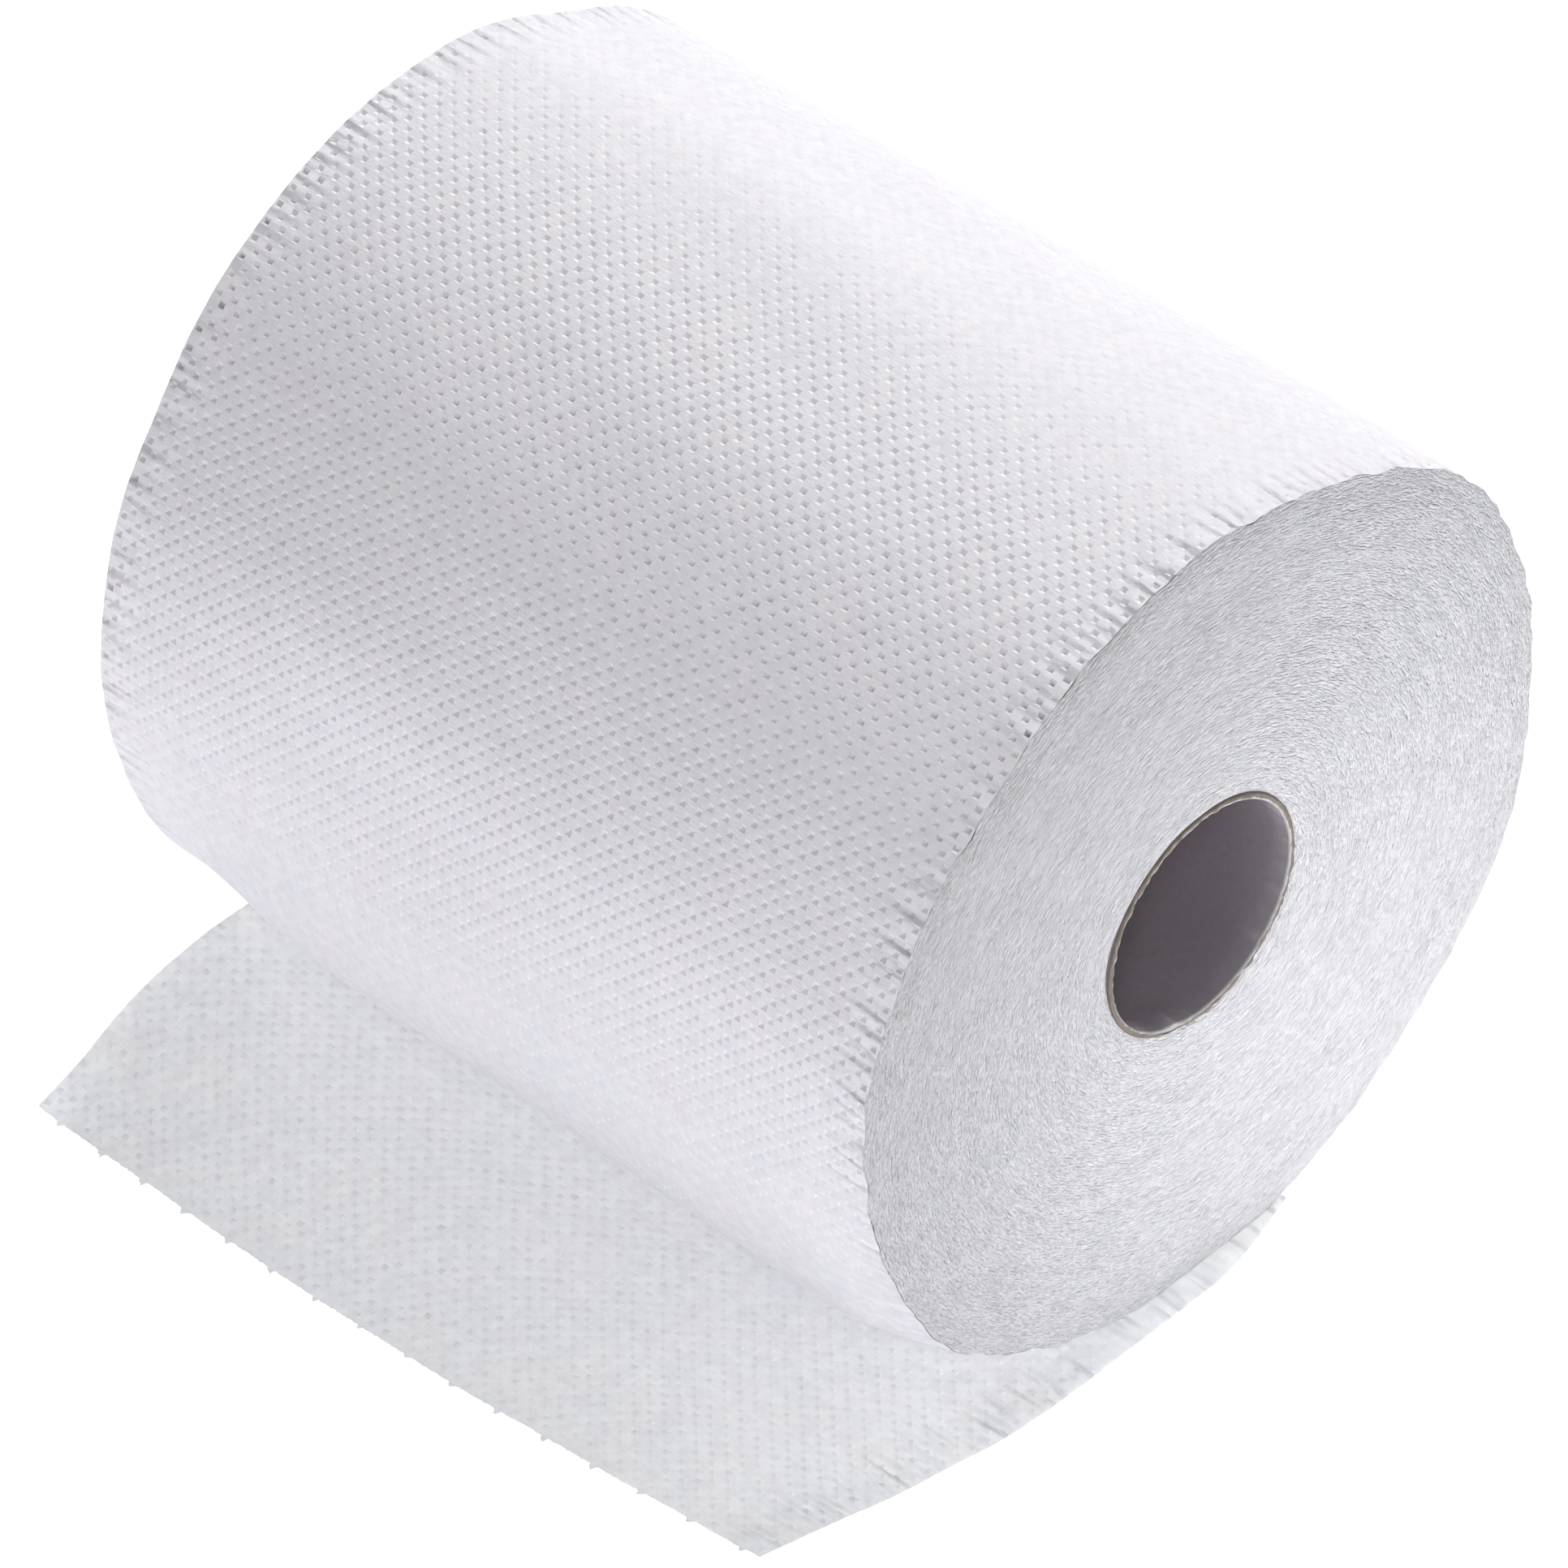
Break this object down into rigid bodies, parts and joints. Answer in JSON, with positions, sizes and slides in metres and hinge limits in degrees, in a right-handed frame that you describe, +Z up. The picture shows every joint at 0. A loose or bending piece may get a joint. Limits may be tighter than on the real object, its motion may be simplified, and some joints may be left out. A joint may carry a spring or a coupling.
{
  "type": "paper towel roll",
  "caption": "Embossed paper towel wound on a cardboard core, lying on its side with its first sheet pulled free and torn along its perforation.",
  "frame": {"origin": "middle of the core's bore, on its axis", "axes": "+Y along the core's axis, from the end that faces the viewer towards the far end; the free sheet lies towards -X; +Z up"},
  "size_m": [0.2161, 0.2041, 0.1812],
  "materials": {
    "embossed_tissue": "white two-ply tissue, dot embossed",
    "core_board": "grey board with a pale liner"
  },
  "bodies": {
    "root": {"paper_roll": "embossed_tissue", "core_tube": "core_board"}
  },
  "joints": []
}
